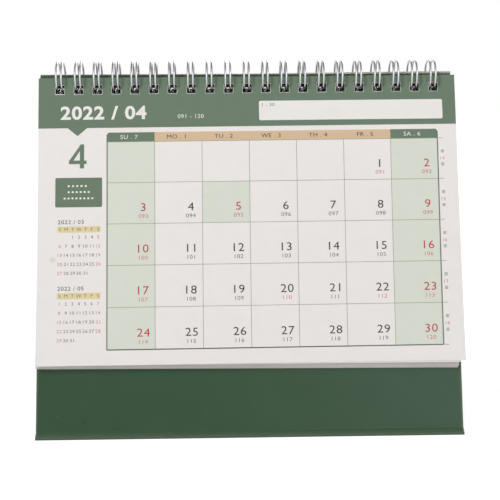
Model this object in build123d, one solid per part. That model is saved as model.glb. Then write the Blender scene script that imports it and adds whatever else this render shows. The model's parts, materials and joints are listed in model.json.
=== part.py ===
from build123d import *
import math
import os

# Easel desk calendar: a folded card stand, a twin-loop wire along its ridge and the leaves that hang on it.
# Millimetres and degrees. X runs along the ridge, the front faces -Y, Z is up, and the stand rests on Z = 0.

# Wire binding, three loops to the inch
LOOP_PITCH = 25.4 / 3
LOOP_DIAMETER = 14.45
WIRE_DIAMETER = 0.95
TWIN_SPACING = 2.24
SEAM_ANGLE = 6.0
BEND_LENGTH = 0.6
WIRE_SIDES = 6
ARC_RUNS = 14

# Square punched holes, in the panels and in the leaves. The row keeps clear of the leaves' side edges.
HOLE_SIZE = 4.1
ROW_END_MARGIN = 7.5

# Stand: covered card panels, a little narrower than the leaves
LEAF_OVERHANG = 0.5
PANEL_LENGTH = 159.4
REAR_EXTRA = 1.4
PANEL_THICKNESS = 1.5
PANEL_MARGIN = 4.0
PANEL_EDGE_RADIUS = 0.35
LEAN = 16.0
RIDGE_GAP = 0.34

# Stand: base and creases, where only the covering paper runs on
BASE_THICKNESS = 1.5
BASE_EDGE_RADIUS = 0.7
FOOT_REACH = 2.4
FOOT_CLEARANCE = 0.8
COVER_THICKNESS = 0.5
COVER_GRIP = 0.6
CREASE_GAP = 2.2

# Leaves
LEAF_WIDTH = 188.6
LEAF_HEIGHT = 129.6
LEAF_THICKNESS = 0.2
LEAF_MARGIN = 3.4
REST_GAP = 0.08
FRONT_LEAVES = 9
FRONT_INNER_PLAY = 0.3
FRONT_OUTER_PLAY = 0.5
TURNED_LEAVES = 4
TURNED_PLAY = 2.2
TURNED_SKEW = -0.4

# Worked out from the sizes above
FRONT = -1
BACK = 1
SIN_LEAN = math.sin(math.radians(LEAN))
COS_LEAN = math.cos(math.radians(LEAN))
LOOP_RADIUS = (LOOP_DIAMETER - WIRE_DIAMETER) / 2
LOOP_INNER_RADIUS = LOOP_RADIUS - WIRE_DIAMETER / 2
PANEL_WIDTH = LEAF_WIDTH - 2 * LEAF_OVERHANG
LOOP_COUNT = math.floor((LEAF_WIDTH - 2 * ROW_END_MARGIN) / LOOP_PITCH) + 1
LOOP_PLACES = [(i - (LOOP_COUNT - 1) / 2) * LOOP_PITCH for i in range(LOOP_COUNT)]
ARC_START = SEAM_ANGLE + math.degrees(BEND_LENGTH / LOOP_RADIUS)
ARC_STEP = (360 - 2 * ARC_START) / ARC_RUNS
CORNER_RADIUS = LOOP_RADIUS / math.sqrt(math.cos(math.radians(ARC_STEP / 2)))


def drop_to_ring(radius, v):
    """How far below the loop axis, along a panel, a ring of this radius crosses the depth v."""
    return math.sqrt(radius**2 - v**2)


# The panels lean against each other at the ridge, and the loops pass through the middle of their holes.
# A place on a panel or leaf is u, down from the loop axis, and v, outward from it.
PANEL_INNER = RIDGE_GAP / 2
PANEL_OUTER = PANEL_INNER + PANEL_THICKNESS
PANEL_HOLE_TOP = drop_to_ring(LOOP_RADIUS, (PANEL_INNER + PANEL_OUTER) / 2) - HOLE_SIZE / 2
PANEL_TOP = PANEL_HOLE_TOP - PANEL_MARGIN
PANEL_FOOT = PANEL_TOP + PANEL_LENGTH
AXIS_HEIGHT = BASE_THICKNESS + FOOT_CLEARANCE + PANEL_FOOT * COS_LEAN - PANEL_INNER * SIN_LEAN


def panel_point(u, v, side):
    """Y and Z of a place on the front or back of the calendar."""
    return (side * (v * COS_LEAN + u * SIN_LEAN), AXIS_HEIGHT + v * SIN_LEAN - u * COS_LEAN)


def along_ridge(profile, width):
    """Solid of this width over a profile drawn in Y and Z."""
    return extrude(Plane.YZ * profile, amount=width / 2, both=True)


def outline(corners, side):
    """Straight-sided profile from its corners in u and v."""
    return make_face(Polyline(*[panel_point(u, v, side) for u, v in corners], close=True))


def punched(solid, hole):
    """The solid with one hole for each loop."""
    return solid - [Pos(X=x) * hole for x in LOOP_PLACES]


def cover_strip(points):
    """Covering paper on its own, along a line of points in Y and Z."""
    return trace(Polyline(*points), line_width=COVER_THICKNESS)


def panel_profile(side):
    """One leaning panel, with its wrapped edges rounded. The rear one is longer and shows above the ridge."""
    length = PANEL_LENGTH + (REAR_EXTRA if side == BACK else 0)
    middle = panel_point(PANEL_FOOT - length / 2, (PANEL_INNER + PANEL_OUTER) / 2, side)
    card = RectangleRounded(PANEL_THICKNESS, length, PANEL_EDGE_RADIUS)
    return Pos(*middle) * Rot(Z=side * LEAN) * card


def base_edge():
    """Y of the outer edge of the base, ahead of the foot of the panel."""
    return panel_point(PANEL_FOOT, PANEL_OUTER, BACK)[0] + FOOT_REACH


def base_profile(side):
    """One half of the base, lying on the table."""
    length = base_edge() - CREASE_GAP / 2
    card = RectangleRounded(length, BASE_THICKNESS, BASE_EDGE_RADIUS)
    return Pos(side * (CREASE_GAP + length) / 2, BASE_THICKNESS / 2) * card


def foot_crease(side):
    """Covering paper from the foot of a panel over to the edge of the base."""
    half = COVER_THICKNESS / 2
    on_panel = panel_point(PANEL_FOOT - PANEL_EDGE_RADIUS - COVER_GRIP, PANEL_OUTER - half, side)
    off_panel = panel_point(PANEL_FOOT, PANEL_OUTER - half, side)
    on_base = (side * (base_edge() - BASE_EDGE_RADIUS), BASE_THICKNESS - half)
    return cover_strip([on_panel, off_panel, on_base])


def base_crease():
    """Covering paper across the gap between the two halves of the base, flush with their upper faces."""
    reach = CREASE_GAP / 2 + BASE_EDGE_RADIUS + COVER_GRIP
    height = BASE_THICKNESS - COVER_THICKNESS / 2
    return cover_strip([(-reach, height), (reach, height)])


def easel_stand():
    """The folded stand, one piece of covered card, punched along both top edges."""
    profile = base_crease()
    for side in (FRONT, BACK):
        profile += [panel_profile(side), base_profile(side), foot_crease(side)]
    stand = along_ridge(profile, PANEL_WIDTH)
    hole_foot = PANEL_HOLE_TOP + HOLE_SIZE
    for side in (FRONT, BACK):
        inner = PANEL_INNER - RIDGE_GAP / 2
        outer = PANEL_OUTER + RIDGE_GAP
        corners = [(PANEL_HOLE_TOP, inner), (PANEL_HOLE_TOP, outer), (hole_foot, outer), (hole_foot, inner)]
        stand = punched(stand, along_ridge(outline(corners, side), HOLE_SIZE))
    return stand


def leaf_stack(side, thickness, inner_play, outer_play):
    """Punched leaves lying on a panel. The round loops hold the outer leaves higher than the inner ones."""
    inner = PANEL_OUTER + REST_GAP
    outer = inner + thickness
    inner_hole = drop_to_ring(LOOP_INNER_RADIUS, inner) - inner_play
    outer_hole = drop_to_ring(LOOP_INNER_RADIUS, outer) - outer_play

    def slab(start, end, overcut):
        """Corners of a leaning layer from start to end, measured from the top of the hole."""
        slope = (inner_hole - outer_hole) / (outer - inner)
        near = (outer_hole - slope * overcut, outer + overcut)
        far = (inner_hole + slope * overcut, inner - overcut)
        ends = [(near, start), (near, end), (far, end), (far, start)]
        return [(u + along, v) for (u, v), along in ends]

    sheets = along_ridge(outline(slab(-LEAF_MARGIN, LEAF_HEIGHT - LEAF_MARGIN, 0), side), LEAF_WIDTH)
    hole = along_ridge(outline(slab(0, HOLE_SIZE, LEAF_THICKNESS), side), HOLE_SIZE)
    return punched(sheets, hole)


def page_block():
    """Leaves still to come, lying close on the front panel."""
    return leaf_stack(FRONT, FRONT_LEAVES * LEAF_THICKNESS, FRONT_INNER_PLAY, FRONT_OUTER_PLAY)


def turned_leaves():
    """Leaves already turned, pushed up a little askew on the back panel."""
    leaves = leaf_stack(BACK, TURNED_LEAVES * LEAF_THICKNESS, TURNED_PLAY, TURNED_PLAY)
    pivot = Axis((0, *panel_point(0, 0, BACK)), (0, COS_LEAN, SIN_LEAN))
    return leaves.rotate(pivot, TURNED_SKEW)


def ring_point(x, angle):
    """Place on the centre line of a loop. The angle starts at the lowest point and rises in front."""
    turn = math.radians(angle)
    return (x, -CORNER_RADIUS * math.sin(turn), AXIS_HEIGHT - CORNER_RADIUS * math.cos(turn))


def loop_points(x):
    """One twin loop: up and over on the left wire, across the tip, and back on the right wire."""
    angles = [ARC_START + ARC_STEP * k for k in range(ARC_RUNS + 1)]
    left = x - TWIN_SPACING / 2
    right = x + TWIN_SPACING / 2
    tip = 360 - SEAM_ANGLE
    points = [ring_point(left - BEND_LENGTH, SEAM_ANGLE)]
    points += [ring_point(left, angle) for angle in angles]
    points += [ring_point(left + BEND_LENGTH, tip), ring_point(right - BEND_LENGTH, tip)]
    points += [ring_point(right, angle) for angle in reversed(angles)]
    points += [ring_point(right + BEND_LENGTH, SEAM_ANGLE)]
    return points


def wire_binding():
    """One wire bent into all the loops, with its seam inside the ridge, as a faceted sweep."""
    points = [point for x in LOOP_PLACES for point in loop_points(x)]
    start = Vector(*points[0])
    end_face = Plane(origin=start, z_dir=Vector(*points[1]) - start)
    section = end_face * RegularPolygon(WIRE_DIAMETER / 2, WIRE_SIDES)
    return sweep(section, path=Polyline(*points), transition=Transition.RIGHT)


os.makedirs("parts", exist_ok=True)
for piece in (easel_stand, wire_binding, page_block, turned_leaves):
    export_step(piece(), f"parts/{piece.__name__}.step")
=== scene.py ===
"""Dresses the easel desk calendar: single leaves with their print, round wire loops and covered card."""
import json
import math
import random

import bmesh
import bpy
from mathutils import Matrix, Vector


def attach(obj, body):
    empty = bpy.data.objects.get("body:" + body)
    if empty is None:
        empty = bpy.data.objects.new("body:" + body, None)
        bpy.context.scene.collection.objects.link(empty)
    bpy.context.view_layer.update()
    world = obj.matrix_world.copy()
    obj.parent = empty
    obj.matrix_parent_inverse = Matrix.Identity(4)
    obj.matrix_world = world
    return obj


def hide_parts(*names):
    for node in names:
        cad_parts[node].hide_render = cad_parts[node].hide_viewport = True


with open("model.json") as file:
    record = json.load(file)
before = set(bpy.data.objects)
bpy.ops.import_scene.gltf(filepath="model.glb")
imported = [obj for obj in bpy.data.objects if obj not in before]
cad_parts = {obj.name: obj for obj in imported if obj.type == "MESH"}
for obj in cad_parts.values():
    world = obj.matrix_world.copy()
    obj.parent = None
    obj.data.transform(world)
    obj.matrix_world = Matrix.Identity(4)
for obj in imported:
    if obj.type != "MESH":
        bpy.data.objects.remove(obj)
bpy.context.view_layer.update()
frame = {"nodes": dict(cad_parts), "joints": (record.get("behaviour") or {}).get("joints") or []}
random.seed(11)

# Lengths are in millimetres and turned into the frame's metres by place().
MM = 0.001

# The frame: the loop axis, and the lean of the two panels
AXIS_HEIGHT = frame["joints"][0]["pos_m"][2] / MM
LEAN = math.radians(16)
SIN_LEAN = math.sin(LEAN)
COS_LEAN = math.cos(LEAN)
FRONT = -1
BACK = 1

# Wire binding
LOOP_PITCH = 25.4 / 3
LOOP_COUNT = 21
LOOP_RADIUS = 6.75
LOOP_BULGE = 0.4
BULGE_ANGLE = math.radians(20)
WIRE_DIAMETER = 0.95
TWIN_SPACING = 2.24
SEAM_ANGLE = math.radians(6)
SEAM_BEND = 0.6
TIP_BEND = 0.85
ARC_STEPS = 44
BEND_STEPS = 6
WIRE_ROUNDNESS = 4
LOOP_PLACES = [(i - (LOOP_COUNT - 1) / 2) * LOOP_PITCH for i in range(LOOP_COUNT)]

# Leaves: a place on a leaf is x from its middle and h down from the top of its holes
LEAF_WIDTH = 188.6
LEAF_HEIGHT = 129.6
LEAF_MARGIN = 3.4
LEAF_TOP = -LEAF_MARGIN
LEAF_FOOT = LEAF_HEIGHT - LEAF_MARGIN
LEAF_GAP = 0.03
HOLE_SIZE = 4.1
LEAF_STEP = 5.0

# Front leaf, which is slightly wider than the rest, bows outward and curls at its lower right corner
FRONT_LEAVES = 9
FRONT_WIDER = 0.3
FRONT_EDGES = (-LEAF_WIDTH / 2, LEAF_WIDTH / 2 + FRONT_WIDER, LEAF_TOP, LEAF_FOOT)
FRONT_SKEW = math.radians(-0.2)
FRONT_SHIFT = 0.29
CORNER_CURL = 0.4
CURL_REACH = 60.0
LEAF_BOW = 0.9
INK_HOLE = 4.34
SMUDGE = (-87.4, 79.3)
SMUDGE_RADIUS = 2.0
SMUDGE_SHADE = 0.8

# Leaves behind it: skew, and how much lower their feet are than its own
SECOND_LEAF = (math.radians(0.07), 0.45)
MIDDLE_LEAVES = (math.radians(0.35), 1.55)
LAST_LEAF = (math.radians(0.42), 2.1)
STACK_SHIFT = 0.22
STACK_SPREAD = 0.1
STACK_SKEW_SPREAD = 0.02
REAR_LEFT = -93.5
REAR_RIGHT = 93.0
REAR_TRIM = 1.8
REAR_HOLE = 5.4

# Turned leaves: some hang lower or higher on the loops than the solid, and the outermost stands off
TURNED_LEAVES = 4
TURNED_HANG = {1: 5.93, 2: 3.02, 4: 2.58}
TURNED_LOOSE = 0.6
TURNED_HIGHER = 0.75
TURNED_LOWER = 0.5
TURNED_SPREAD = 0.2
TURNED_SKEW_SPREAD = 0.05

# Stand
WELD_REACH = 0.01
EDGE_WIDTH = 0.22
EDGE_SEGMENTS = 3
EDGE_ANGLE = math.radians(50)

# Marks on the covered card: x, u, radius and how much darker or lighter
PANEL_FACE = 1.67
CARD_SPOTS = [(-72.8, 155.4, 1.5, 0.7), (-84.3, 153.3, 0.7, 1.6)]
# Painted light on the covered card: its lighter colour, and where it comes in, in millimetres across or up.
# Along the foot and over the ridge it is painted light where the card lies in shade; along the side edges it
# is partly wear and partly a painted highlight on the rounded edges.
LIGHT_AND_WEAR_CODE = "5a6656"
LIGHT_AND_WEAR_SIDE = (92.7, 93.8)
PAINTED_LIGHT_FOOT = (3.4, -0.6)
PAINTED_LIGHT_RIDGE = (155.3, 155.9)

# Print on the front leaf
HEADER_FOOT = 19.5
POINTER_HALF = 4.35
POINTER_DEPTH = 3.7
GRID_LEFT = -63.4
GRID_TOP = 26.0
CELL_WIDTH = 21.29
CELL_HEIGHT = 18.64
GRID_COLUMNS = 7
GRID_ROWS = 5
LAST_COLUMN = GRID_COLUMNS - 1
GRID_RIGHT = GRID_LEFT + GRID_COLUMNS * CELL_WIDTH
GRID_FOOT = GRID_TOP + GRID_ROWS * CELL_HEIGHT
DAY_HEAD_TOP = 21.7
FIRST_COLUMN = 5
MONTH_DAYS = 30
MONTH_START = 91
HOLIDAY = 5
SIDE_MIDDLE = -76.7

# Month's number: its stem, its slope, and its bar on the left and on the right of the stem
BIG_FOUR = (
    ((-75.2, 27.2), (-73.7, 27.2), (-73.7, 38.2), (-75.6, 38.2), (-75.6, 27.8)),
    ((-75.6, 27.8), (-75.6, 30.2), (-78.4, 34.6), (-80.3, 34.6)),
    ((-80.5, 34.6), (-75.6, 34.6), (-75.6, 36.2), (-80.5, 36.2)),
    ((-73.7, 34.6), (-72.6, 34.6), (-72.6, 36.2), (-73.7, 36.2)),
)

# How far the print runs off square
PRINT_DROP = 0.25
PRINT_WIDER = 0.2
PRINT_TAPER = 0.8

# Ink: its lower and upper faces above the paper, its lines and its lettering
FILM_FOOT = -0.004
FIELD_LIFT = 0.008
MARK_LIFT = 0.016
LETTER_LIFT = 0.024
LINE_WIDTH = 0.22
FRAME_WIDTH = 0.5
CORNER_STEPS = 5
LETTER_SPACING = 1.08
LETTER_STRETCH = 1.12
LETTER_STEPS = 3
LETTER_DEPTH = 0.5
LETTER_WELD = 1e-5

# Header: lettering is given by its left end, its base line and its height
TITLE_LEFT = -84.3
TITLE_BASE = 15.65
TITLE_HEIGHT = 6.0
TITLE_WEIGHT = 0.03
NOTE_LEFT = -31.6
NOTE_BASE = 15.6
NOTE_HEIGHT = 1.75
BLANK_LEFT = 5.2
BLANK_RIGHT = GRID_RIGHT + 2.95
BLANK_TOP = 7.95
BLANK_FOOT = 16.95
BLANK_CORNER = 0.7
LABEL_LEFT = 6.6
LABEL_BASE = 10.5
LABEL_HEIGHT = 1.5

# Cells of the grid: base lines below the top of a cell, and the middle of the numbers from its left
WEEKDAYS = ("SU", "MO", "TU", "WE", "TH", "FR", "SA")
WEEKDAY_PLACE = 0.46
WEEKDAY_RISE = 1.25
WEEKDAY_HEIGHT = 1.85
HEAD_CORNER = 1.0
RED_NOTES = (1, 20, 22)
DATE_PLACE = 16.1
DATE_BASE = 13.0
DATE_HEIGHT = 3.6
DAY_NOTE_BASE = 16.15

# Right margin: ticks, week numbers and bars, from the right end of the grid
TICK_START = 0.5
TICK_END = 2.4
FIRST_WEEK = 14
WEEK_PLACE = 2.1
WEEK_BASE = 9.9
WEEK_HEIGHT = 1.4
BAR_GROUPS = (6.0, 12.0)
BAR_OFFSETS = (-0.5, 0, 0.5)
BAR_HALF_WIDTH = 0.7
BAR_HALF_HEIGHT = 0.12

# Left margin: the green box with its rows of marks, and the small calendars
BOX_EDGES = (-86.5, -65.6, 42.45, 55.8)
BOX_CORNER = 0.6
MARK_ROWS = ((46.2, -81.0, -71.5), (48.95, -81.0, -70.3), (51.8, -82.8, -68.7))
MARK_PITCH = 1.8
MARK_WIDTH = 0.95
MARK_HALF_HEIGHT = 0.42
MARK_CORNER = 0.3
SIDE_LEFT = -85.25
SMALL_MONTHS = ((61.45, "2022 / 03", 2), (91.15, "2022 / 05", 0))
SMALL_MONTH_DAYS = 31
SMALL_TITLE_BASE = 1.9
SMALL_HEAD_BASE = 5.0
SMALL_HEIGHT = 1.4
SMALL_BAND_SHIFT = -0.2
SMALL_BAND_TOP = 2.95
SMALL_BAND_FOOT = 5.75
SMALL_WIDTH = 19.2
SMALL_FIRST = 0.9
SMALL_PITCH = 2.84
SMALL_ROW_FIRST = 8.5
SMALL_ROW_PITCH = 4.03

# Floor: its size and the reach of its dimmer middle in metres, and its greys
FLOOR_SIZE = 8
FLOOR_REACH = 1.2
FLOOR_GLOW = 0.86
FLOOR_DIFFUSE = (0.3, 0.3, 0.3, 1)

# Surroundings: white up to one height of the view direction, grey from another, and an even light
WHITE = (1, 1, 1, 1)
SKY_GREY = (0.22, 0.22, 0.22, 1)
SKY_WHITE_TO = 0.55
SKY_GREY_FROM = 0.95
EVEN_LIGHT = (0.26, 0.26, 0.26, 1)

# Lamps: place, size and watts
KEY_LAMP = ((-900, -900, 1800), 450, 32.5)
RIGHT_LAMP = ((520, -1170, 480), 800, 4.5)
LEFT_LAMP = ((-620, -1140, 420), 900, 1.1)
BACK_LAMP = ((350, 1250, 700), 900, 8.2)

# Camera, relative to the middle of the loop axis
CAMERA_PLACE = (-9.37, -472.0, -2.82)
CAMERA_YAW = math.radians(1.288)
CAMERA_PITCH = math.radians(-9.38)
CAMERA_ROLL = math.radians(-0.347)
CAMERA_LENS = 73.11
CAMERA_NEAREST = 10.0


def place(x, u, v, side):
    """Point of the frame at x along the ridge, u down a panel from the loop axis and v outward from it."""
    y = side * (v * COS_LEAN + u * SIN_LEAN)
    z = AXIS_HEIGHT + v * SIN_LEAN - u * COS_LEAN
    return Vector((x, y, z)) * MM


def linear(code):
    """Colour for a shader from a six-digit sRGB code."""
    parts = [int(code[i:i + 2], 16) / 255 for i in (0, 2, 4)]
    return (*[c / 12.92 if c <= 0.04045 else ((c + 0.055) / 1.055) ** 2.4 for c in parts], 1.0)


# Materials: colours, roughness, and the part of a noise's range that is used


PAPER_CODE = "e9e4e1"
CARD_CODE = "2b4830"
WIRE_CODE = "c5c5c8"
PAPER_ROUGHNESS = 0.72
INK_ROUGHNESS = 0.66
NOISE_LOW = 0.3
NOISE_HIGH = 0.7
ROUGHNESS_SPREAD = 0.06


class Shader:
    """A Principled material under construction, with object coordinates for its textures."""

    def __init__(self, name):
        self.material = bpy.data.materials.new(name)
        self.material.use_nodes = True
        self.nodes = self.material.node_tree.nodes
        self.links = self.material.node_tree.links
        self.surface = self.nodes["Principled BSDF"]
        self.place = self.nodes.new("ShaderNodeTexCoord").outputs["Object"]

    def set(self, socket, value):
        self.surface.inputs[socket].default_value = value

    def noise(self, cells, detail, stretch=(1, 1, 1)):
        """Noise with this many cells to the metre."""
        mapping = self.nodes.new("ShaderNodeMapping")
        mapping.inputs["Scale"].default_value = stretch
        texture = self.nodes.new("ShaderNodeTexNoise")
        texture.inputs["Scale"].default_value = cells
        texture.inputs["Detail"].default_value = detail
        self.links.new(self.place, mapping.inputs["Vector"])
        self.links.new(mapping.outputs["Vector"], texture.inputs["Vector"])
        return texture.outputs["Fac"]

    def ramp(self, value, low, high):
        """Colour ramp between two colours over the middle of a noise."""
        node = self.nodes.new("ShaderNodeValToRGB")
        stops = ((NOISE_LOW, low), (NOISE_HIGH, high))
        for element, (position, colour) in zip(node.color_ramp.elements, stops):
            element.position = position
            element.color = colour
        self.links.new(value, node.inputs["Fac"])
        return node.outputs["Color"]

    def spread(self, value, low, high):
        """Value stretched from the middle of a noise to this range."""
        node = self.nodes.new("ShaderNodeMapRange")
        node.inputs["From Min"].default_value = NOISE_LOW
        node.inputs["From Max"].default_value = NOISE_HIGH
        node.inputs["To Min"].default_value = low
        node.inputs["To Max"].default_value = high
        self.links.new(value, node.inputs["Value"])
        return node.outputs["Result"]

    def bump(self, value, strength, depth):
        """Bump of this depth in millimetres."""
        node = self.nodes.new("ShaderNodeBump")
        node.inputs["Strength"].default_value = strength
        node.inputs["Distance"].default_value = depth * MM
        self.links.new(value, node.inputs["Height"])
        self.links.new(node.outputs["Normal"], self.surface.inputs["Normal"])

    def spot(self, tone, centre, radius, colour):
        """The tone, with a soft round spot of a colour. The radius is in millimetres."""
        mapping = self.nodes.new("ShaderNodeMapping")
        size = radius * MM
        mapping.inputs["Scale"].default_value = [1 / size] * 3
        mapping.inputs["Location"].default_value = [-c / size for c in centre]
        ball = self.nodes.new("ShaderNodeTexGradient")
        ball.gradient_type = "SPHERICAL"
        mix = self.nodes.new("ShaderNodeMix")
        mix.data_type = "RGBA"
        mix.inputs["B"].default_value = colour
        self.links.new(self.place, mapping.inputs["Vector"])
        self.links.new(mapping.outputs["Vector"], ball.inputs["Vector"])
        self.links.new(ball.outputs["Fac"], mix.inputs["Factor"])
        self.links.new(tone, mix.inputs["A"])
        return mix.outputs["Result"]

    def worn(self, tone, axis, band, colour):
        """The tone, going over to a colour along an axis, between the places of a band on both sides:
        painted light, or wear together with a painted highlight.
        """
        axes = self.nodes.new("ShaderNodeSeparateXYZ")
        size = self.nodes.new("ShaderNodeMath")
        size.operation = "ABSOLUTE"
        fade = self.nodes.new("ShaderNodeMapRange")
        fade.inputs["From Min"].default_value = band[0] * MM
        fade.inputs["From Max"].default_value = band[1] * MM
        mix = self.nodes.new("ShaderNodeMix")
        mix.data_type = "RGBA"
        mix.inputs["B"].default_value = colour
        self.links.new(self.place, axes.inputs["Vector"])
        self.links.new(axes.outputs[axis], size.inputs[0])
        self.links.new(size.outputs["Value"], fade.inputs["Value"])
        self.links.new(fade.outputs["Result"], mix.inputs["Factor"])
        self.links.new(tone, mix.inputs["A"])
        return mix.outputs["Result"]

    def feed(self, socket, value):
        self.links.new(value, self.surface.inputs[socket])


def shade(colour, factor):
    """The colour, lighter or darker by a factor."""
    return (*[min(1.0, c * factor) for c in colour[:3]], 1.0)


def paper_like(name, code, roughness, spots=()):
    """Uncoated paper, bare or printed: a soft mottle in the colour, a fine fibre bump, and soiled spots."""
    shader = Shader(name)
    colour = linear(code)
    mottle = shader.noise(cells=180, detail=3)
    tone = shader.ramp(mottle, low=shade(colour, 0.99), high=shade(colour, 1.01))
    for centre, radius, factor in spots:
        tone = shader.spot(tone, centre, radius, shade(colour, factor))
    shader.feed("Base Color", tone)
    fibre = shader.noise(cells=2600, detail=3, stretch=(1, 1, 0.45))
    smoothest = roughness - ROUGHNESS_SPREAD
    roughest = roughness + ROUGHNESS_SPREAD
    shader.feed("Roughness", shader.spread(fibre, smoothest, roughest))
    shader.bump(fibre, strength=0.25, depth=0.02)
    shader.set("Specular IOR Level", 0.3)
    return shader.material


def covered_card():
    """Dark green covering paper with a fine grain, a slight sheen, marks, and lighter bands of painted light
    at its foot, ridge and side edges, the side ones partly wear.
    """
    shader = Shader("covered_card_green")
    colour = linear(CARD_CODE)
    mottle = shader.noise(cells=60, detail=5)
    tone = shader.ramp(mottle, low=shade(colour, 0.95), high=shade(colour, 1.05))
    for x, u, radius, factor in CARD_SPOTS:
        tone = shader.spot(tone, place(x, u, PANEL_FACE, FRONT), radius, shade(colour, factor))
    # Painted light: a lighter colour along the side edges (wear and a painted highlight), along the foot
    # crease and over the ridge (painted light where the card lies in shade).
    worn = linear(LIGHT_AND_WEAR_CODE)
    tone = shader.worn(tone, "X", LIGHT_AND_WEAR_SIDE, worn)
    tone = shader.worn(tone, "Z", PAINTED_LIGHT_FOOT, worn)
    tone = shader.worn(tone, "Z", PAINTED_LIGHT_RIDGE, worn)
    shader.feed("Base Color", tone)
    grain = shader.noise(cells=3200, detail=2)
    shader.feed("Roughness", shader.spread(grain, low=0.3, high=0.4))
    shader.bump(grain, strength=0.25, depth=0.03)
    shader.set("Specular IOR Level", 0.25)
    return shader.material


def drawn_wire():
    """Bright plated wire with faint drawing marks."""
    shader = Shader("binding_wire_plated")
    tone = shader.noise(cells=700, detail=3)
    bright = linear(WIRE_CODE)
    shader.feed("Base Color", shader.ramp(tone, low=shade(bright, 0.9), high=bright))
    marks = shader.noise(cells=2400, detail=2)
    shader.feed("Roughness", shader.spread(marks, low=0.18, high=0.32))
    shader.bump(marks, strength=0.04, depth=0.005)
    shader.set("Metallic", 1.0)
    return shader.material


LEAF_PAPER = paper_like("leaf_paper_white", PAPER_CODE, PAPER_ROUGHNESS)


# Meshes


def make_piece(name, points, faces, material, body):
    """Mesh object in the frame that rides on a body, with its faces turned outward."""
    mesh = bpy.data.meshes.new(name)
    mesh.from_pydata(points, [], faces)
    work = bmesh.new()
    work.from_mesh(mesh)
    bmesh.ops.recalc_face_normals(work, faces=work.faces)
    work.to_mesh(mesh)
    work.free()
    mesh.materials.append(material)
    piece = bpy.data.objects.new(name, mesh)
    bpy.context.scene.collection.objects.link(piece)
    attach(piece, body)
    return piece


def steps(start, end, longest):
    """Evenly spaced values from start to end, no further apart than longest."""
    count = max(1, math.ceil((end - start) / longest))
    return [start + (end - start) * k / count for k in range(count + 1)]


def closed_sheet(xs, hs, foot, top, is_hole=lambda x, h: False):
    """Thin closed sheet over a grid of cells, less its holes, as points in x, h and lift, and faces."""
    rows = len(hs)
    points = [(x, h, lift) for x in xs for h in hs for lift in (foot, top)]
    cells = {
        (i, j)
        for i in range(len(xs) - 1)
        for j in range(rows - 1)
        if not is_hole((xs[i] + xs[i + 1]) / 2, (hs[j] + hs[j + 1]) / 2)
    }

    def corner(i, j, layer):
        return (i * rows + j) * 2 + layer

    faces = []
    for i, j in sorted(cells):
        ring = [(i, j), (i + 1, j), (i + 1, j + 1), (i, j + 1)]
        faces.append([corner(*c, 1) for c in ring])
        faces.append([corner(*c, 0) for c in reversed(ring)])
        neighbours = [(i, j - 1), (i + 1, j), (i, j + 1), (i - 1, j)]
        for k, neighbour in enumerate(neighbours):
            if neighbour not in cells:
                a = ring[k]
                b = ring[(k + 1) % 4]
                faces.append([corner(*b, 1), corner(*a, 1), corner(*a, 0), corner(*b, 0)])
    return points, faces


def punched_sheet(left, right, top, foot, lower, upper, hole):
    """Closed sheet with a square hole of this size round each place where the loops pass."""
    columns = [left, right]
    for x in LOOP_PLACES:
        columns += [x - hole / 2, x + hole / 2]
    columns.sort()
    hole_top = (HOLE_SIZE - hole) / 2
    hole_foot = hole_top + hole
    rows = [top, hole_top] + steps(hole_foot, foot, LEAF_STEP)

    def in_hole(x, h):
        return hole_top < h < hole_foot and any(abs(x - middle) < hole / 2 for middle in LOOP_PLACES)

    return closed_sheet(columns, rows, lower, upper, in_hole)


class Leaf:
    """One hanging leaf: where its outer face lies, and how it is turned, curled and bowed."""

    def __init__(self, side, v, hang, shift, skew, curl=0.0, bow=0.0):
        self.side = side
        self.v = v
        self.hang = hang
        self.shift = shift
        self.sin = math.sin(skew)
        self.cos = math.cos(skew)
        self.curl = curl
        self.bow = bow

    def point(self, x, h, lift):
        """Point of the frame at a place on the leaf, lifted off its outer face."""
        reach = (x - LEAF_WIDTH / 2 + h - LEAF_FOOT) / CURL_REACH + 1
        rise = self.curl * max(0.0, reach) ** 2 + self.bow * (max(0.0, h) / LEAF_FOOT) ** 3
        along = self.shift + x * self.cos - h * self.sin
        down = self.hang + h * self.cos + x * self.sin
        return place(along, down, self.v + lift + rise, self.side)


def stack_faces(node, side):
    """Depth of a stack's two faces, where the middle of its hole tops is on each, and its skew."""
    spots = []
    for vertex in frame["nodes"][node].data.vertices:
        x, y, z = vertex.co / MM
        y *= side
        z -= AXIS_HEIGHT
        spots.append((x, y * SIN_LEAN - z * COS_LEAN, y * COS_LEAN + z * SIN_LEAN))
    faces = []
    for v in (min(s[2] for s in spots), max(s[2] for s in spots)):
        face = [s for s in spots if abs(s[2] - v) < LEAF_GAP]
        left = min(face, key=lambda s: s[1] + s[0])
        right = min(face, key=lambda s: s[1] - s[0])
        skew = math.atan2(right[1] - left[1], right[0] - left[0])
        middle = (left[0] + right[0]) / 2 - LEAF_MARGIN * math.sin(skew)
        hang = (left[1] + right[1]) / 2 + LEAF_MARGIN * math.cos(skew)
        faces.append((v, hang, middle, skew))
    return faces


def leaf_in_stack(node, side, share, shift=0.0, skew=0.0, curl=0.0, bow=0.0):
    """Leaf whose outer face lies at a share of the way from a stack's inner face to its outer one."""
    inner, outer = stack_faces(node, side)
    v, hang, middle, turn = [a + (b - a) * share for a, b in zip(inner, outer)]
    return Leaf(side, v, hang, middle + shift, turn + skew, curl, bow)


def leaf_sheet(name, leaf, thickness, body, edges, hole=HOLE_SIZE, paper=None):
    """Paper sheet of one leaf, from its left, right, top and lower edges, punched for the loops."""
    points, faces = punched_sheet(*edges, -thickness, 0.0, hole)
    points = [leaf.point(*p) for p in points]
    return make_piece(name, points, faces, paper or LEAF_PAPER, body)


def stack_thickness(node, side, count):
    """Thickness of each of this many leaves in a stack."""
    inner, outer = stack_faces(node, side)
    return (outer[0] - inner[0]) / count - LEAF_GAP


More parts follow.
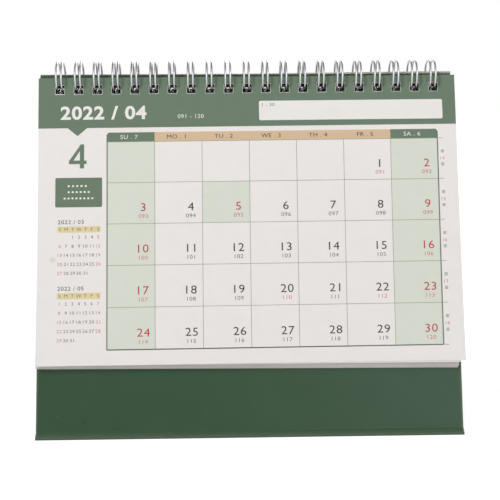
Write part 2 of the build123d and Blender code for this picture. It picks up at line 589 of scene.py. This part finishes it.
def front_stack():
    """Single leaves of the front stack, from the rear. Returns the front leaf, which takes the print."""
    thickness = stack_thickness("page_block", FRONT, FRONT_LEAVES)
    front = leaf_in_stack("page_block", FRONT, 1.0, FRONT_SHIFT, FRONT_SKEW, CORNER_CURL, LEAF_BOW)
    for k in range(1, FRONT_LEAVES):
        share = k / FRONT_LEAVES
        shift = STACK_SHIFT + random.uniform(-STACK_SPREAD, STACK_SPREAD)
        skew, lower = {1: LAST_LEAF, FRONT_LEAVES - 1: SECOND_LEAF}.get(k, MIDDLE_LEAVES)
        skew += math.radians(random.uniform(-STACK_SKEW_SPREAD, STACK_SKEW_SPREAD))
        form = (CORNER_CURL, LEAF_BOW) if k == FRONT_LEAVES - 1 else (0.0, 0.0)
        leaf = leaf_in_stack("page_block", FRONT, share, shift, skew, *form)
        leaf.hang = front.hang
        foot = LEAF_FOOT + lower + random.uniform(-STACK_SPREAD, STACK_SPREAD)
        edges = (REAR_LEFT, REAR_RIGHT, LEAF_TOP + REAR_TRIM, foot)
        leaf_sheet(f"front_leaf_{FRONT_LEAVES + 1 - k}", leaf, thickness, "front_leaves", edges, REAR_HOLE)
    smudge = (front.point(*SMUDGE, 0.0), SMUDGE_RADIUS, SMUDGE_SHADE)
    smudged = paper_like("leaf_paper_front", PAPER_CODE, PAPER_ROUGHNESS, [smudge])
    sheet = leaf_sheet("front_leaf_1", front, thickness, "front_leaves", FRONT_EDGES, paper=smudged)
    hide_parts("page_block")
    return front


def turned_stack():
    """Single leaves of the turned stack, from the one on the panel outward."""
    thickness = stack_thickness("turned_leaves", BACK, TURNED_LEAVES)
    for k in range(1, TURNED_LEAVES + 1):
        skew = math.radians(random.uniform(-TURNED_SKEW_SPREAD, TURNED_SKEW_SPREAD))
        shift = random.uniform(-TURNED_SPREAD, TURNED_SPREAD)
        leaf = leaf_in_stack("turned_leaves", BACK, k / TURNED_LEAVES, shift, skew)
        top = LEAF_TOP - TURNED_HIGHER
        if k in TURNED_HANG:
            loose = TURNED_LOOSE if k == TURNED_LEAVES else 0.0
            leaf = Leaf(BACK, leaf.v + loose, TURNED_HANG[k], 0.0, 0.0, bow=-loose)
            top = LEAF_TOP + TURNED_LOWER
        edges = (-LEAF_WIDTH / 2, LEAF_WIDTH / 2, top, LEAF_FOOT)
        sheet = leaf_sheet(f"turned_leaf_{k}", leaf, thickness, "back_leaves", edges)
    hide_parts("turned_leaves")


# Print


INKS = {
    "green": "687a67",
    "pale_green": "d6d9cd",
    "peach": "d2b797",
    "yellow": "dccfa0",
    "white": "e8e5e1",
    "line_green": "87927f",
    "frame": "5e6b5c",
    "dark": "3c3b3b",
    "grey": "6d6b69",
    "red": "b3414b",
    "red_note": "c4757a",
}


class Film:
    """Ink of one colour on the front leaf, gathered from fields and lettering, as thin closed shapes."""

    def __init__(self, colour):
        self.colour = colour
        self.points = []
        self.faces = []

    def add(self, points, faces):
        start = len(self.points)
        self.points += points
        self.faces += [[start + i for i in face] for face in faces]

    def field(self, left, right, top, foot, lift=FIELD_LIFT):
        """Rectangle, in cells short enough to follow the leaf."""
        self.add(*closed_sheet(steps(left, right, LEAF_STEP), steps(top, foot, LEAF_STEP), FILM_FOOT, lift))

    def shape(self, corners, lift=FIELD_LIFT):
        """Flat shape from its corners in x and h."""
        count = len(corners)
        points = [(x, h, level) for level in (FILM_FOOT, lift) for x, h in corners]
        faces = [list(range(count)), list(range(2 * count - 1, count - 1, -1))]
        for k in range(count):
            after = (k + 1) % count
            faces.append([k, after, count + after, count + k])
        self.add(points, faces)

    def upright(self, x, top, foot, width=LINE_WIDTH):
        self.field(x - width / 2, x + width / 2, top, foot, MARK_LIFT)

    def level(self, left, right, h, width=LINE_WIDTH):
        self.field(left, right, h - width / 2, h + width / 2, MARK_LIFT)

    def letters(self, text, x, base, height, align=0.5, weight=0.0):
        """Lettering on a base line, with its left end at x for align 0 and its middle at x for align 0.5."""
        points, faces, _ = lettering(text, weight)
        scale = height / lettering("0", weight)[2]
        lefts = [p[0] for p in points]
        across = scale * LETTER_STRETCH
        start = x - across * (min(lefts) + align * (max(lefts) - min(lefts)))
        lifts = {True: LETTER_LIFT, False: FILM_FOOT}
        self.add([(start + across * p[0], base - scale * p[1], lifts[p[2] > 0]) for p in points], faces)

    def print_on(self, leaf):
        ink = paper_like(f"ink_{self.colour}", INKS[self.colour], INK_ROUGHNESS)
        points = [leaf.point(*p) for p in self.points]
        make_piece(f"print_{self.colour}", points, self.faces, ink, "front_leaves")


def lettering(text, weight):
    """Flat letters from the left end of their base line, as points, faces and the height of their tops."""
    curve = bpy.data.curves.new("lettering", "FONT")
    curve.body = text
    curve.offset = weight
    curve.extrude = LETTER_DEPTH
    curve.resolution_u = LETTER_STEPS
    curve.space_character = LETTER_SPACING
    carrier = bpy.data.objects.new("lettering", curve)
    mesh = bpy.data.meshes.new_from_object(carrier)
    bpy.data.objects.remove(carrier)
    work = bmesh.new()
    work.from_mesh(mesh)
    bmesh.ops.remove_doubles(work, verts=work.verts, dist=LETTER_WELD)
    points = [tuple(vertex.co) for vertex in work.verts]
    faces = [[vertex.index for vertex in face.verts] for face in work.faces]
    work.free()
    bpy.data.meshes.remove(mesh)
    return points, faces, max(p[1] for p in points)


def rounded(left, right, top, foot, radius, square=()):
    """Corners of a rounded rectangle. The ones in square, counted from the top left, stay sharp."""
    centres = [(left + radius, top + radius), (right - radius, top + radius)]
    centres += [(right - radius, foot - radius), (left + radius, foot - radius)]
    sharp = [(left, top), (right, top), (right, foot), (left, foot)]
    corners = []
    for k, (x, h) in enumerate(centres):
        if k in square:
            corners.append(sharp[k])
            continue
        for part in range(CORNER_STEPS + 1):
            turn = math.radians(180 + 90 * (k + part / CORNER_STEPS))
            corners.append((x + radius * math.cos(turn), h + radius * math.sin(turn)))
    return corners


def askew(points):
    """Print that runs a little off square: lower at the left, and narrower towards the foot."""
    moved = []
    for x, h, lift in points:
        across = (x - GRID_LEFT) / (GRID_RIGHT - GRID_LEFT)
        down = (h - GRID_TOP) / (GRID_FOOT - GRID_TOP)
        drop = PRINT_DROP * (1 - across) * min(1.0, max(0.0, h / HEADER_FOOT))
        moved.append((x + across * (PRINT_WIDER - PRINT_TAPER * max(0.0, down)), h + drop, lift))
    return moved


def print_header(inks):
    """Green head of the leaf, with its pointer, the title and a white field to write in."""
    points, faces = punched_sheet(*FRONT_EDGES[:3], HEADER_FOOT, FILM_FOOT, FIELD_LIFT, INK_HOLE)
    lowered = [(p[0], q[1], p[2]) for p, q in zip(points, askew(points))]
    inks["green"].add(lowered, faces)
    foot = HEADER_FOOT + PRINT_DROP
    tip = (SIDE_MIDDLE, foot + POINTER_DEPTH)
    ends = [(SIDE_MIDDLE - POINTER_HALF, foot), (SIDE_MIDDLE + POINTER_HALF, foot)]
    inks["green"].shape([*ends, tip])
    inks["white"].letters("2022 / 04", TITLE_LEFT, TITLE_BASE, TITLE_HEIGHT, 0, TITLE_WEIGHT)
    inks["white"].letters("091 - 120", NOTE_LEFT, NOTE_BASE, NOTE_HEIGHT, 0)
    inks["white"].shape(rounded(BLANK_LEFT, BLANK_RIGHT, BLANK_TOP, BLANK_FOOT, BLANK_CORNER), MARK_LIFT)
    inks["grey"].letters("1 - 30", LABEL_LEFT, LABEL_BASE, LABEL_HEIGHT, 0)


def print_grid(inks):
    """Month grid: weekday heads, pale weekend columns, lines, dates and weeks."""
    for column in (0, LAST_COLUMN):
        left = GRID_LEFT + column * CELL_WIDTH
        right = left + CELL_WIDTH
        sharp = (1, 2, 3) if column == 0 else (0, 2, 3)
        inks["green"].shape(rounded(left, right, DAY_HEAD_TOP, GRID_TOP, HEAD_CORNER, sharp))
        inks["pale_green"].field(left, right, GRID_TOP, GRID_FOOT)
    inks["peach"].field(GRID_LEFT + CELL_WIDTH, GRID_RIGHT - CELL_WIDTH, DAY_HEAD_TOP, GRID_TOP)
    for column, name in enumerate(WEEKDAYS):
        ink = inks["white"] if column in (0, LAST_COLUMN) else inks["dark"]
        label = f"{name} . {column or GRID_COLUMNS}"
        middle = GRID_LEFT + (column + WEEKDAY_PLACE) * CELL_WIDTH
        ink.letters(label, middle, GRID_TOP - WEEKDAY_RISE, WEEKDAY_HEIGHT)
    for column in range(1, GRID_COLUMNS):
        inks["line_green"].upright(GRID_LEFT + column * CELL_WIDTH, GRID_TOP, GRID_FOOT)
    for row in range(GRID_ROWS + 1):
        h = GRID_TOP + row * CELL_HEIGHT
        inks["line_green"].level(GRID_LEFT, GRID_RIGHT, h)
        inks["line_green"].level(GRID_RIGHT + TICK_START, GRID_RIGHT + TICK_END, h)
    for x in (GRID_LEFT, GRID_RIGHT):
        inks["frame"].upright(x, DAY_HEAD_TOP + HEAD_CORNER, GRID_FOOT, FRAME_WIDTH)
    inks["frame"].level(GRID_LEFT, GRID_RIGHT, GRID_FOOT, FRAME_WIDTH)
    print_dates(inks)
    print_weeks(inks)


def days_in_rows(first_column, days):
    """Each day of a month with its column and row."""
    for day in range(1, days + 1):
        row, column = divmod(first_column + day - 1, GRID_COLUMNS)
        yield day, column, row


def print_dates(inks):
    """Dates in their cells, each over its day of the year, and a pale cell for the holiday."""
    for day, column, row in days_in_rows(FIRST_COLUMN, MONTH_DAYS):
        left = GRID_LEFT + column * CELL_WIDTH
        top = GRID_TOP + row * CELL_HEIGHT
        if day == HOLIDAY:
            inks["pale_green"].field(left, left + CELL_WIDTH, top, top + CELL_HEIGHT)
        is_red = column in (0, LAST_COLUMN) or day == HOLIDAY
        ink = inks["red"] if is_red else inks["dark"]
        ink.letters(str(day), left + DATE_PLACE, top + DATE_BASE, DATE_HEIGHT)
        note = inks["red_note"] if is_red or day in RED_NOTES else inks["grey"]
        note.letters(f"{MONTH_START + day - 1:03d}", left + DATE_PLACE, top + DAY_NOTE_BASE, NOTE_HEIGHT)


def print_weeks(inks):
    """Week numbers on the right of the grid, each between two groups of bars."""
    middle = GRID_RIGHT + WEEK_PLACE
    left = middle - BAR_HALF_WIDTH
    right = middle + BAR_HALF_WIDTH
    for row in range(GRID_ROWS):
        top = GRID_TOP + row * CELL_HEIGHT
        inks["red_note"].letters(str(FIRST_WEEK + row), middle, top + WEEK_BASE, WEEK_HEIGHT)
        for group in BAR_GROUPS:
            for offset in BAR_OFFSETS:
                h = top + group + offset
                inks["grey"].field(left, right, h - BAR_HALF_HEIGHT, h + BAR_HALF_HEIGHT, MARK_LIFT)


def print_small_month(inks, top, title, first_column):
    """Small calendar of another month in the left margin."""
    inks["dark"].letters(title, SIDE_LEFT, top + SMALL_TITLE_BASE, NOTE_HEIGHT, 0)
    band = SIDE_LEFT + SMALL_BAND_SHIFT
    inks["yellow"].field(band, band + SMALL_WIDTH, top + SMALL_BAND_TOP, top + SMALL_BAND_FOOT)
    first = SIDE_LEFT + SMALL_FIRST
    for column, name in enumerate(WEEKDAYS):
        inks["grey"].letters(name[0], first + column * SMALL_PITCH, top + SMALL_HEAD_BASE, SMALL_HEIGHT)
    for day, column, row in days_in_rows(first_column, SMALL_MONTH_DAYS):
        ink = inks["red_note"] if column in (0, LAST_COLUMN) else inks["grey"]
        base = top + SMALL_ROW_FIRST + row * SMALL_ROW_PITCH
        ink.letters(str(day), first + column * SMALL_PITCH, base, SMALL_HEIGHT)


def print_margin(inks):
    """Left margin: the month's number, a green box with three rows of marks, and two small calendars."""
    for stroke in BIG_FOUR:
        inks["green"].shape(stroke)
    inks["green"].shape(rounded(*BOX_EDGES, BOX_CORNER))
    for h, left, right in MARK_ROWS:
        count = round((right - left) / MARK_PITCH)
        for k in range(count):
            start = left + (right - left) * k / count
            edges = (start, start + MARK_WIDTH, h - MARK_HALF_HEIGHT, h + MARK_HALF_HEIGHT)
            inks["white"].shape(rounded(*edges, MARK_CORNER), MARK_LIFT)
    for small_month in SMALL_MONTHS:
        print_small_month(inks, *small_month)


def print_leaf(leaf):
    """All the print of the front leaf, one piece to each colour."""
    inks = {colour: Film(colour) for colour in INKS}
    print_header(inks)
    grid = {colour: Film(colour) for colour in INKS}
    print_grid(grid)
    for colour, film in grid.items():
        inks[colour].add(askew(film.points), film.faces)
    print_margin(inks)
    for film in inks.values():
        film.print_on(leaf)


# Wire binding


def ring_point(x, angle):
    """Place on the centre line of a loop. The angle starts at the lowest point and rises in front."""
    radius = LOOP_RADIUS + LOOP_BULGE * max(0.0, math.cos(angle - BULGE_ANGLE)) ** 4
    return Vector((x, -radius * math.sin(angle), AXIS_HEIGHT - radius * math.cos(angle))) * MM


def bend(x, angle, across, along, leaving):
    """Quarter turn between a run along x and an arc, from the run when leaving is false."""
    points = []
    for k in range(BEND_STEPS):
        turn = math.radians(90) * k / BEND_STEPS
        if leaving:
            points.append((x + across * (1 - math.cos(turn)), angle + along * math.sin(turn)))
        else:
            points.append((x + across * math.sin(turn), angle + along * (1 - math.cos(turn))))
    return points


def loop_path(x):
    """One twin loop: up and over on the left wire, round the tip, and back on the right wire."""
    left = x - TWIN_SPACING / 2
    right = x + TWIN_SPACING / 2
    seam = SEAM_BEND / LOOP_RADIUS
    tip = TIP_BEND / LOOP_RADIUS
    start = SEAM_ANGLE + seam
    end = 2 * math.pi - SEAM_ANGLE - tip
    arc = [start + (end - start) * k / ARC_STEPS for k in range(ARC_STEPS)]
    path = bend(left - SEAM_BEND, SEAM_ANGLE, SEAM_BEND, seam, False)
    path += [(left, angle) for angle in arc]
    path += bend(left, end, TIP_BEND, tip, True)
    path += bend(right - TIP_BEND, end + tip, TIP_BEND, -tip, False)
    path += [(right, end + start - angle) for angle in arc]
    path += bend(right, start, SEAM_BEND, -seam, True)
    path.append((right + SEAM_BEND, SEAM_ANGLE))
    return [ring_point(*spot) for spot in path]


def wire_binding():
    """The whole binding, one round wire."""
    points = [point for x in LOOP_PLACES for point in loop_path(x)]
    curve = bpy.data.curves.new("wire_path", "CURVE")
    curve.dimensions = "3D"
    curve.bevel_depth = WIRE_DIAMETER / 2 * MM
    curve.bevel_resolution = WIRE_ROUNDNESS
    curve.use_fill_caps = True
    spline = curve.splines.new("POLY")
    spline.points.add(len(points) - 1)
    for spot, point in zip(spline.points, points):
        spot.co = (*point, 1)
    carrier = bpy.data.objects.new("wire_path", curve)
    mesh = bpy.data.meshes.new_from_object(carrier)
    bpy.data.objects.remove(carrier)
    mesh.materials.clear()
    mesh.materials.append(drawn_wire())
    mesh.shade_smooth()
    wire = bpy.data.objects.new("twin_loop_wire", mesh)
    bpy.context.scene.collection.objects.link(wire)
    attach(wire, "stand")
    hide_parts("wire_binding")


# Stand


def dress_stand():
    """Covered card on the folded stand, with softened edges."""
    node = frame["nodes"]["easel_stand"]
    node.data.materials.clear()
    node.data.materials.append(covered_card())
    weld = node.modifiers.new("weld", "WELD")
    weld.merge_threshold = WELD_REACH * MM
    bevel = node.modifiers.new("bevel", "BEVEL")
    bevel.width = EDGE_WIDTH * MM
    bevel.segments = EDGE_SEGMENTS
    bevel.limit_method = "ANGLE"
    bevel.angle_limit = EDGE_ANGLE


# Stage


def stage():
    """White floor that keeps a soft shadow, white surroundings, soft lamps and the camera."""
    scene = bpy.context.scene
    scene.view_settings.view_transform = "Standard"
    bpy.ops.mesh.primitive_plane_add(size=FLOOR_SIZE)
    floor = bpy.context.object
    floor.name = "floor"
    floor.data.materials.append(floor_white())
    scene.world = surroundings()
    key = lamp("key_lamp", *KEY_LAMP)
    key.visible_glossy = False
    lamp("right_lamp", *RIGHT_LAMP)
    lamp("left_lamp", *LEFT_LAMP)
    lamp("back_lamp", *BACK_LAMP)
    camera()


def seen_directly(nodes, links):
    """One for rays from the camera, reflections and transmission, zero for the rest."""
    path = nodes.new("ShaderNodeLightPath")
    seen = path.outputs["Is Camera Ray"]
    for kind in ("Is Glossy Ray", "Is Transmission Ray"):
        either = nodes.new("ShaderNodeMath")
        either.operation = "MAXIMUM"
        links.new(seen, either.inputs[0])
        links.new(path.outputs[kind], either.inputs[1])
        seen = either.outputs["Value"]
    return seen


def nearness(nodes, links):
    """Strength of the floor's own white: full far out, less near the calendar, where the lamps add to it."""
    spot = nodes.new("ShaderNodeTexCoord")
    mapping = nodes.new("ShaderNodeMapping")
    mapping.inputs["Scale"].default_value = [1 / FLOOR_REACH] * 3
    ball = nodes.new("ShaderNodeTexGradient")
    ball.gradient_type = "SPHERICAL"
    fade = nodes.new("ShaderNodeMapRange")
    fade.inputs["To Min"].default_value = 1.0
    fade.inputs["To Max"].default_value = FLOOR_GLOW
    links.new(spot.outputs["Object"], mapping.inputs["Vector"])
    links.new(mapping.outputs["Vector"], ball.inputs["Vector"])
    links.new(ball.outputs["Fac"], fade.inputs["Value"])
    return fade.outputs["Result"]


def floor_white():
    """White floor: mostly its own white to the camera, with enough diffuse to keep the shadow."""
    material = bpy.data.materials.new("floor_white")
    material.use_nodes = True
    nodes = material.node_tree.nodes
    links = material.node_tree.links
    nodes.clear()
    output = nodes.new("ShaderNodeOutputMaterial")
    total = nodes.new("ShaderNodeAddShader")
    diffuse = nodes.new("ShaderNodeBsdfDiffuse")
    diffuse.inputs["Color"].default_value = FLOOR_DIFFUSE
    glow = nodes.new("ShaderNodeEmission")
    level = nodes.new("ShaderNodeMath")
    level.operation = "MULTIPLY"
    links.new(seen_directly(nodes, links), level.inputs[0])
    links.new(nearness(nodes, links), level.inputs[1])
    links.new(level.outputs["Value"], glow.inputs["Strength"])
    links.new(diffuse.outputs["BSDF"], total.inputs[0])
    links.new(glow.outputs["Emission"], total.inputs[1])
    links.new(total.outputs["Shader"], output.inputs["Surface"])
    return material


def surroundings():
    """White round the horizon and grey overhead where it is seen or mirrored, and a dim even light."""
    world = bpy.data.worlds.new("surroundings")
    world.use_nodes = True
    nodes = world.node_tree.nodes
    links = world.node_tree.links
    background = nodes["Background"]
    direction = nodes.new("ShaderNodeTexCoord")
    axes = nodes.new("ShaderNodeSeparateXYZ")
    links.new(direction.outputs["Generated"], axes.inputs["Vector"])
    sky = nodes.new("ShaderNodeValToRGB")
    low, high = sky.color_ramp.elements
    low.position = SKY_WHITE_TO
    low.color = WHITE
    high.position = SKY_GREY_FROM
    high.color = SKY_GREY
    links.new(axes.outputs["Z"], sky.inputs["Fac"])
    mix = nodes.new("ShaderNodeMix")
    mix.data_type = "RGBA"
    mix.inputs["A"].default_value = EVEN_LIGHT
    links.new(seen_directly(nodes, links), mix.inputs["Factor"])
    links.new(sky.outputs["Color"], mix.inputs["B"])
    links.new(mix.outputs["Result"], background.inputs["Color"])
    return world


def lamp(name, spot, size, power):
    """Soft square lamp that faces the middle of the calendar."""
    data = bpy.data.lights.new(name, "AREA")
    data.size = size * MM
    data.energy = power
    lamp_object = bpy.data.objects.new(name, data)
    target = Vector((0, 0, AXIS_HEIGHT / 2))
    lamp_object.location = Vector(spot) * MM
    lamp_object.rotation_euler = (target - Vector(spot)).to_track_quat("-Z", "Y").to_euler()
    bpy.context.scene.collection.objects.link(lamp_object)
    return lamp_object


def camera():
    """Camera at the photograph's viewing angle."""
    data = bpy.data.cameras.new("camera")
    data.lens = CAMERA_LENS
    data.clip_start = CAMERA_NEAREST * MM
    camera_object = bpy.data.objects.new("camera", data)
    bpy.context.scene.collection.objects.link(camera_object)
    ahead = Vector((
        math.sin(CAMERA_YAW) * math.cos(CAMERA_PITCH),
        math.cos(CAMERA_YAW) * math.cos(CAMERA_PITCH),
        math.sin(CAMERA_PITCH),
    ))
    level = Vector((math.cos(CAMERA_YAW), -math.sin(CAMERA_YAW), 0))
    upright = level.cross(ahead)
    right = math.cos(CAMERA_ROLL) * level + math.sin(CAMERA_ROLL) * upright
    up = math.cos(CAMERA_ROLL) * upright - math.sin(CAMERA_ROLL) * level
    turn = Matrix((right, up, -ahead)).transposed().to_4x4()
    spot = (Vector(CAMERA_PLACE) + Vector((0, 0, AXIS_HEIGHT))) * MM
    camera_object.matrix_world = Matrix.Translation(spot) @ turn
    bpy.context.scene.camera = camera_object


front_leaf = front_stack()
turned_stack()
print_leaf(front_leaf)
wire_binding()
dress_stand()
stage()

bpy.context.view_layer.update()
